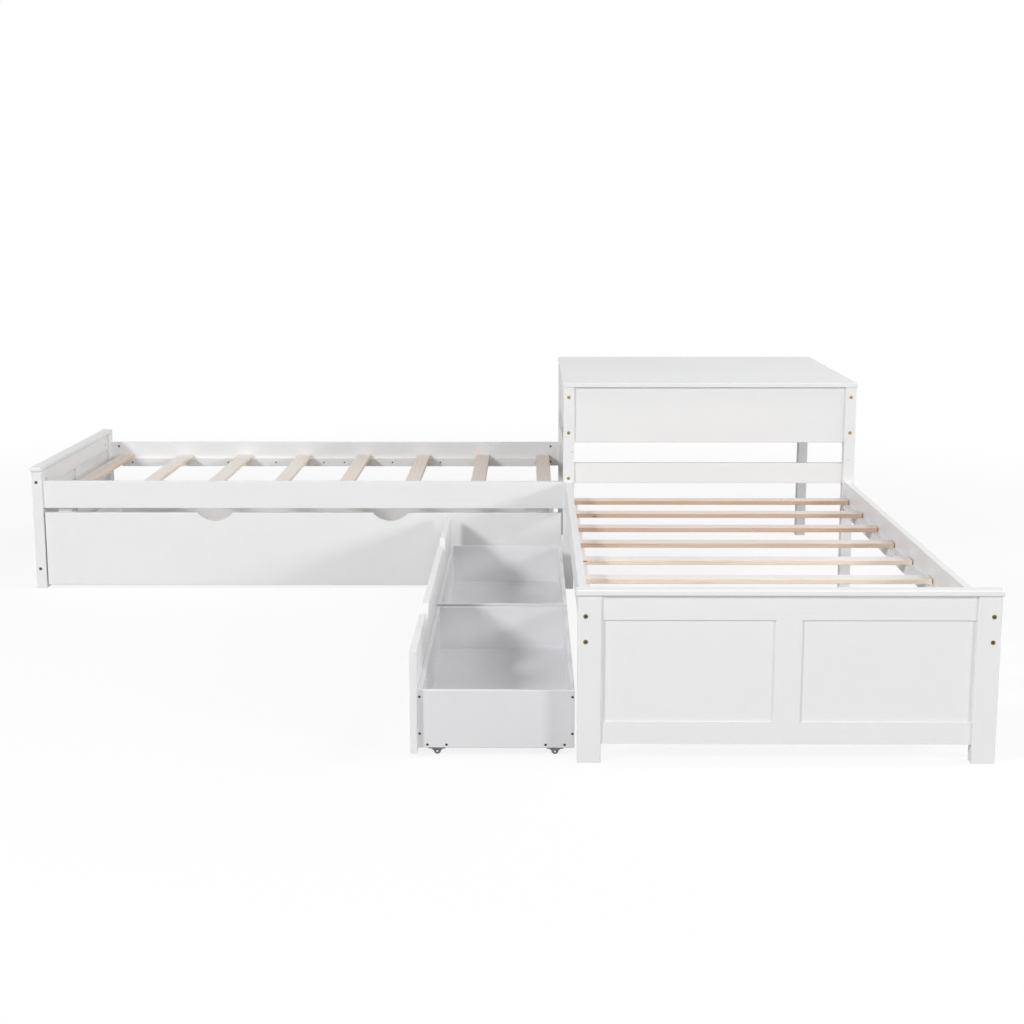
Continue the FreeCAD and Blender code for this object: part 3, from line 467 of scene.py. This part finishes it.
def startHead(sides, radius, height):  # a disc with its top at zero, open for editing
    head = startPiece(bpy.ops.mesh.primitive_cylinder_add, vertices=sides, radius=radius, depth=height,
                      location=(0, 0, -height / 2))
    bpy.ops.object.transform_apply(location=True, rotation=True, scale=True)
    bpy.ops.object.mode_set(mode="EDIT")
    return head


def pickFaces(piece, wanted):
    bpy.ops.mesh.select_mode(type="FACE")
    bpy.ops.mesh.select_all(action="DESELECT")
    shape = bmesh.from_edit_mesh(piece.data)
    for face in shape.faces:
        face.select_set(wanted(face))
    bmesh.update_edit_mesh(piece.data)


def pickTop(piece):
    pickFaces(piece, lambda face: face.normal.z > 0.99)


def pickUnderside(piece):
    pickFaces(piece, lambda face: face.normal.z < -0.9)


def roundRing(piece, height, offset, segments):  # bevels the edges that lie level at a height
    bpy.ops.mesh.select_mode(type="EDGE")
    bpy.ops.mesh.select_all(action="DESELECT")
    shape = bmesh.from_edit_mesh(piece.data)
    for edge in shape.edges:
        edge.select_set(all(abs(corner.co.z - height) < slack["level"] for corner in edge.verts))
    bmesh.update_edit_mesh(piece.data)
    bpy.ops.mesh.bevel(offset=offset, segments=segments)


def pullDown(distance):
    bpy.ops.mesh.extrude_region_move(TRANSFORM_OT_translate={"value": (0, 0, -distance)})


def cutOut(piece, cutter):
    carve = piece.modifiers.new("carve", "BOOLEAN")
    carve.operation = "DIFFERENCE"
    carve.object = cutter
    bpy.context.view_layer.objects.active = piece
    bpy.ops.object.modifier_apply(modifier=carve.name)
    bpy.data.objects.remove(cutter)


def smoothPiece(piece):
    bpy.ops.object.select_all(action="DESELECT")
    piece.select_set(True)
    bpy.context.view_layer.objects.active = piece
    bpy.ops.object.shade_smooth_by_angle(angle=math.radians(35))


def markPaintedShade(piece, amount):  # how much painted shade each point of a fastener gets, from its radius and height
    layer = piece.data.attributes.new("grime", "FLOAT", "POINT")
    for point, value in zip(piece.data.vertices, layer.data):
        value.value = amount(math.hypot(point.co.x, point.co.y), point.co.z)


def looseParts(node):  # the points of each separate solid of a CAD node
    shape = bmesh.new()
    shape.from_mesh(nodes[node].data)
    bmesh.ops.remove_doubles(shape, verts=shape.verts, dist=slack["weld"])
    left = set(shape.verts)
    parts = []
    while left:
        front = [left.pop()]
        part = []
        while front:
            corner = front.pop()
            part.append(corner.co.copy())
            for edge in corner.link_edges:
                other = edge.other_vert(corner)
                if other in left:
                    left.remove(other)
                    front.append(other)
        parts.append(part)
    shape.free()
    return sorted(parts, key=lambda part: tuple(round(value, 4) for value in part[0].to_tuple()))


def partBox(part):
    low = Vector([min(point[i] for point in part) for i in range(3)])
    high = Vector([max(point[i] for point in part) for i in range(3)])
    return low, high


def fastenerPlaces(node):  # where each head's top lies, which way its shank points, and its whole length
    places = []
    for part in looseParts(node):
        low, high = partBox(part)
        span = high - low
        axis = max(range(3), key=lambda i: span[i])
        middle = (low + high) / 2
        widths = []
        for end in (low[axis], high[axis]):
            near = [point - middle for point in part if abs(point[axis] - end) < slack["end"]]
            widths.append(max(point.length_squared - point[axis] ** 2 for point in near))
        headLow = widths[0] > widths[1]
        top = middle.copy()
        top[axis] = low[axis] if headLow else high[axis]
        into = Vector((0, 0, 0))
        into[axis] = 1 if headLow else -1
        places.append((top, into, round(span[axis] / mm, 1)))
    return places


def modelsByLength(makeOne, shape, *placeLists):
    lengths = sorted({length for places in placeLists for _, _, length in places})
    return {length: makeOne(length * mm, shape) for length in lengths}


def layCopies(name, copies):  # one piece from (model, top, way in) rows; a model's own way in is -Z
    bpy.ops.object.select_all(action="DESELECT")
    for model, top, into in copies:
        twin = model.copy()
        twin.data = model.data.copy()
        turn = (-into).to_track_quat("Z", "Y").to_matrix().to_4x4()
        twin.data.transform(Matrix.Translation(top) @ turn)
        bpy.context.scene.collection.objects.link(twin)
        twin.select_set(True)
        bpy.context.view_layer.objects.active = twin
    bpy.ops.object.join()
    piece = bpy.context.object
    piece.name = name
    piece.data.name = name
    return piece


def wear(piece, finish, body):
    piece.data.materials.clear()
    piece.data.materials.append(finishes[finish])
    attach(piece, body)


# brass connector bolts, sunk in the posts and legs

boltShape = {
    "sides": 36,
    "headRadius": 6.0 * mm,
    "headHeight": 2.5 * mm,
    "rimRound": 0.7 * mm,
    "shankRadius": 3.0 * mm,
    "tipBevel": 0.8 * mm,
    "socketWidth": 5.0 * mm,
    "socketDepth": 1.8 * mm,
    # Painted shade fills the hex socket, and a painted shadow rings the rim where the sunk head meets its
    # hole.
    "socketGrime": 1.0,
    "rimGrime": 0.8,
}
boltDarkening = {
    "deskCorner": 0.30,  # the desk's bolts lie beyond this on both axes
    "deskShare": 0.40,  # of the painted shade in the sockets and round the rims
    "postDarkness": 0.62,
}


def modelBolt(length, shape):
    bolt = startHead(shape["sides"], shape["headRadius"], shape["headHeight"])
    pickUnderside(bolt)
    bpy.ops.mesh.inset(thickness=shape["headRadius"] - shape["shankRadius"])
    pullDown(length - shape["headHeight"])
    roundRing(bolt, 0.0, shape["rimRound"], 3)
    roundRing(bolt, -length, shape["tipBevel"], 1)
    bpy.ops.object.mode_set(mode="OBJECT")
    socketRadius = shape["socketWidth"] / math.sqrt(3)
    socket = startPiece(bpy.ops.mesh.primitive_cylinder_add, vertices=6, radius=socketRadius,
                        depth=2 * shape["socketDepth"], location=(0, 0, 0))
    cutOut(bolt, socket)
    smoothPiece(bolt)

    # painted shade in the socket, painted shadow round the rim
    def grime(reach, height):
        if reach < socketRadius + slack["level"] and -shape["headHeight"] < height < -slack["skin"]:
            return shape["socketGrime"]
        return shape["rimGrime"] if reach > shape["headRadius"] - slack["skin"] else 0.0

    markPaintedShade(bolt, grime)
    return bolt


def darkenBolts(piece, look):  # the footboards' bolts are darker than the desk's
    for point, value in zip(piece.data.vertices, piece.data.attributes["grime"].data):
        if min(point.co.x, point.co.y) > look["deskCorner"]:
            value.value *= look["deskShare"]
        else:
            value.value = max(value.value, look["postDarkness"])


boltPlaces = fastenerPlaces("connector_bolts")
boltModels = modelsByLength(modelBolt, boltShape, boltPlaces)
bolts = layCopies("brassBolts", [(boltModels[length], top, into) for top, into, length in boltPlaces])
darkenBolts(bolts, boltDarkening)
wear(bolts, "boltBrass", "frame")
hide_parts("connector_bolts")
print("bolts laid:", len(boltPlaces))


# dark wood screws with a cross recess

screwShape = {
    "sides": 20,
    "headRadius": 3.2 * mm,
    "headHeight": 1.2 * mm,
    "rimRound": 0.6 * mm,
    "shankRadius": 1.8 * mm,
    "tipLength": 4.0 * mm,
    "tipShare": 0.12,  # of the shank's width
    "recessLength": 3.6 * mm,
    "recessWidth": 0.8 * mm,
    "recessDepth": 0.8 * mm,
}
screwNodes = {
    "ledgerScrews": ("ledger_screws", "frame"),
    "nearDrawerScrews": ("near_drawer_screws", "near_drawer"),
    "farDrawerScrews": ("far_drawer_screws", "far_drawer"),
    "trundleScrews": ("trundle_screws", "trundle"),
}


def modelScrew(length, shape):
    screw = startHead(shape["sides"], shape["headRadius"], shape["headHeight"])
    pickUnderside(screw)
    bpy.ops.mesh.inset(thickness=shape["headRadius"] - shape["shankRadius"])
    pullDown(length - shape["headHeight"] - shape["tipLength"])
    pullDown(shape["tipLength"])
    bpy.ops.transform.resize(value=(shape["tipShare"], shape["tipShare"], 1.0),
                             center_override=(0, 0, -length))
    roundRing(screw, 0.0, shape["rimRound"], 2)
    bpy.ops.object.mode_set(mode="OBJECT")
    long, narrow, deep = shape["recessLength"], shape["recessWidth"], 2 * shape["recessDepth"]
    for scale in ((long, narrow, deep), (narrow, long, deep)):
        cutOut(screw, startPiece(bpy.ops.mesh.primitive_cube_add, size=1.0, scale=scale))
    smoothPiece(screw)
    # painted shade in the cross recess and down the shank
    markPaintedShade(screw, lambda reach, height: float(reach < long and height < -slack["skin"]))
    return screw


screwPlaces = {name: fastenerPlaces(node) for name, (node, body) in screwNodes.items()}
screwModels = modelsByLength(modelScrew, screwShape, *screwPlaces.values())
for name, (node, body) in screwNodes.items():
    rows = [(screwModels[length], top, into) for top, into, length in screwPlaces[name]]
    screws = layCopies(name, rows)
    wear(screws, "screwDark", body)
    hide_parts(node)
print("screws laid:", sum(len(places) for places in screwPlaces.values()))


# bright rivet heads on the casters' cheeks

rivetShape = {
    "sides": 20,
    "radius": 2.6 * mm,
    "height": 1.7 * mm,
    "rimRound": 1.0 * mm,
    "dimpleRadius": 0.8 * mm,
    "dimpleSlope": 0.3 * mm,
    "dimpleDepth": 0.3 * mm,
    "cheekBack": 6.5 * mm,  # from the wheel's middle to the cheek's outer face
    "axleHeight": 9.0 * mm,
}
rivetNodes = {
    "nearDrawerRivets": ("near_drawer_caster_forks", "near_drawer"),
    "farDrawerRivets": ("far_drawer_caster_forks", "far_drawer"),
    "trundleRivets": ("trundle_caster_forks", "trundle"),
}


def modelRivet(shape):
    rivet = startHead(shape["sides"], shape["radius"], shape["height"])
    roundRing(rivet, 0.0, shape["rimRound"], 4)
    pickTop(rivet)
    bpy.ops.mesh.inset(thickness=shape["radius"] - shape["rimRound"] - shape["dimpleRadius"], depth=0.0)
    bpy.ops.mesh.inset(thickness=shape["dimpleSlope"], depth=-shape["dimpleDepth"])
    bpy.ops.object.mode_set(mode="OBJECT")
    smoothPiece(rivet)
    return rivet


rivetModel = modelRivet(rivetShape)
for name, (node, body) in rivetNodes.items():
    rows = []
    for part in looseParts(node):
        low, high = partBox(part)
        middle = (low + high) / 2
        middle.z = rivetShape["axleHeight"]
        axis = 1 if high.x - low.x > high.y - low.y else 0  # the axle lies across the plate's longer side
        for side in (1, -1):
            out = Vector((0, 0, 0))
            out[axis] = side
            rows.append((rivetModel, middle + out * (rivetShape["cheekBack"] + rivetShape["height"]), -out))
    rivets = layCopies(name, rows)
    wear(rivets, "rivetZinc", body)
print("rivets laid on", len(rivetNodes), "sets of casters")


# cover caps on the screws that hold the drawer fronts from inside

capShape = {
    "sides": 24,
    "radius": 5.0 * mm,
    "height": 2.0 * mm,
    "rimRound": 1.4 * mm,
    "crownInset": 1.2 * mm,
    "crownHeight": 0.12 * mm,
    "overHead": 0.8 * mm,
}
cappedScrews = {
    "nearDrawerCaps": ("nearDrawerScrews", "near_drawer"),
    "farDrawerCaps": ("farDrawerScrews", "far_drawer"),
}


def modelCap(shape):
    cap = startHead(shape["sides"], shape["radius"], shape["height"])
    roundRing(cap, 0.0, shape["rimRound"], 4)
    pickTop(cap)
    bpy.ops.mesh.inset(thickness=shape["crownInset"], depth=shape["crownHeight"])
    bpy.ops.object.mode_set(mode="OBJECT")
    smoothPiece(cap)
    return cap


capModel = modelCap(capShape)
for name, (screwSet, body) in cappedScrews.items():
    rows = [(capModel, top - into * capShape["overHead"], into)
            for top, into, length in screwPlaces[screwSet] if abs(into.x) > 0.5]
    wear(layCopies(name, rows), "drawerBoard", body)
    print("caps laid:", len(rows))


# white plugs in the desk's two front legs

plugShape = {
    "sides": 24,
    "radius": 4.0 * mm,
    "height": 2.0 * mm,
    "proud": 0.5 * mm,
    "rimRound": 0.35 * mm,
    "dishInset": 0.8 * mm,
    "dishDepth": 0.25 * mm,
    "places": ((0.4764, 0.5113), (1.4803, 0.4825)),  # across and up on the legs' front faces
}


def modelPlug(shape):
    plug = startHead(shape["sides"], shape["radius"], shape["height"])
    roundRing(plug, 0.0, shape["rimRound"], 2)
    pickTop(plug)
    bpy.ops.mesh.inset(thickness=shape["dishInset"], depth=-shape["dishDepth"])
    bpy.ops.object.mode_set(mode="OBJECT")
    smoothPiece(plug)
    return plug


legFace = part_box("desk_front_left_leg")[0].y
plugModel = modelPlug(plugShape)
plugTops = [Vector((across, legFace - plugShape["proud"], up)) for across, up in plugShape["places"]]
plugs = layCopies("legPlugs", [(plugModel, top, Vector((0, 1, 0))) for top in plugTops])
wear(plugs, "plugPlastic", "frame")
print("plugs laid:", len(plugShape["places"]))

for model in [*boltModels.values(), *screwModels.values(), rivetModel, capModel, plugModel]:
    bpy.data.objects.remove(model)


# studio: floor, light and camera

studio = {
    "floorSpan": 60.0,
    "floorDrop": 0.4 * mm,
    "floorTone": (0.93, 0.93, 0.93),
    "floorBounce": (0.40, 0.40, 0.40),  # what it throws back on the bed
    "floorGlow": 0.86,  # near the bed, so that its shadow stays
    "glowFade": (2.4, 5.5),
    "skyGlow": 0.17,
    "wallGlow": 0.42,  # added low down, where the studio walls are
    "white": (1.0, 1.0, 1.0, 1.0),
}


def rayShare(flow, *kinds):  # 1 for rays of these kinds, 0 for others
    shares = [flow.add("ShaderNodeLightPath", {}, {}, f"Is {kind} Ray") for kind in kinds]
    return sum(shares[1:], shares[0]).clip(0.0, 1.0)


def makeFloor(look):
    floor = startPiece(bpy.ops.mesh.primitive_plane_add, size=look["floorSpan"],
                       location=(0, 0, -look["floorDrop"]))
    floor.name = "studioFloor"
    material, flow = newMaterial("studioFloor")
    axes = splitAxes(flow, objectPlace(flow))
    reach = (axes["x"] * axes["x"] + axes["y"] * axes["y"]) ** 0.5
    tone = rayShare(flow, "Diffuse").mix(look["floorTone"], look["floorBounce"])
    matt = flow.add("ShaderNodeBsdfDiffuse", {}, {"Color": tone})
    glow = flow.add("ShaderNodeEmission", {}, {"Color": look["white"], "Strength": 1.0})
    glowShare = look["floorGlow"] + (1.0 - look["floorGlow"]) * reach.step(*look["glowFade"])
    direct = rayShare(flow, "Camera", "Glossy", "Transmission")
    blend = flow.add("ShaderNodeMixShader", {}, {0: glowShare * direct, 1: matt, 2: glow})
    flow.add("ShaderNodeOutputMaterial", {}, {"Surface": blend})
    floor.data.materials.append(material)


def makeWorld(look):
    world = bpy.data.worlds.new("studioWorld")
    bpy.context.scene.world = world
    world.use_nodes = True
    world.node_tree.nodes.clear()
    flow = Flow(world.node_tree)
    direct = rayShare(flow, "Camera", "Glossy", "Transmission")
    towards = flow.add("ShaderNodeTexCoord", {}, {}, "Generated")
    fall = 1.0 - splitAxes(flow, towards)["z"].clip(0.0, 1.0)
    soft = look["skyGlow"] + look["wallGlow"] * fall * fall
    strength = soft + (1.0 - soft) * direct
    glow = flow.add("ShaderNodeBackground", {}, {"Color": look["white"], "Strength": strength})
    flow.add("ShaderNodeOutputWorld", {}, {"Surface": glow})


softboxes = {  # round and up from the aim, in degrees, and how far away
    "leftSoftbox": {"round": -46, "up": 29, "away": 10.0, "size": 1.4, "power": 515},
    "rightSoftbox": {"round": 52, "up": 15.5, "away": 10.0, "size": 1.4, "power": 270},
    "highSoftbox": {"round": 84, "up": 54, "away": 10.0, "size": 2.2, "power": 205},
    "sideSoftbox": {"round": 94, "up": 34, "away": 10.0, "size": 5.0, "power": 190},
    "frontSoftbox": {"round": 2, "up": 26, "away": 11.0, "size": 5.0, "power": 150},
}
lightAim = (0.1, -0.2, 0.3)


def makeSoftbox(name, box):
    lamp = bpy.data.lights.new(name, "AREA")
    lamp.shape = "SQUARE"
    lamp.size = box["size"]
    lamp.energy = box["power"]
    holder = bpy.data.objects.new(name, lamp)
    bpy.context.scene.collection.objects.link(holder)
    turn, lift = math.radians(box["round"]), math.radians(box["up"])
    out = Vector((math.sin(turn) * math.cos(lift), -math.cos(turn) * math.cos(lift), math.sin(lift)))
    holder.location = Vector(lightAim) + out * box["away"]
    holder.rotation_euler = (-out).to_track_quat("-Z", "Y").to_euler()


view = {
    "place": (0.3248, -5.5497, 1.3974),
    "yaw": -0.0112,
    "pitch": -0.1829,
    "roll": 0.0011,
    "focalPixels": 1662.2,
    "pictureWidth": 1024,
    "sensor": 36.0,
}


def makeCamera(look):
    lens = bpy.data.cameras.new("photoCamera")
    lens.sensor_width = look["sensor"]
    lens.lens = look["focalPixels"] * look["sensor"] / look["pictureWidth"]
    camera = bpy.data.objects.new("photoCamera", lens)
    bpy.context.scene.collection.objects.link(camera)
    turn = Matrix.Rotation(-look["yaw"], 4, "Z")
    tilt = Matrix.Rotation(math.pi / 2 + look["pitch"], 4, "X")
    lean = Matrix.Rotation(-look["roll"], 4, "Z")
    camera.matrix_world = Matrix.Translation(look["place"]) @ turn @ tilt @ lean
    bpy.context.scene.camera = camera


makeFloor(studio)
makeWorld(studio)
for name, box in softboxes.items():
    makeSoftbox(name, box)
makeCamera(view)
bpy.context.scene.view_settings.view_transform = "Standard"
print("studio set up")
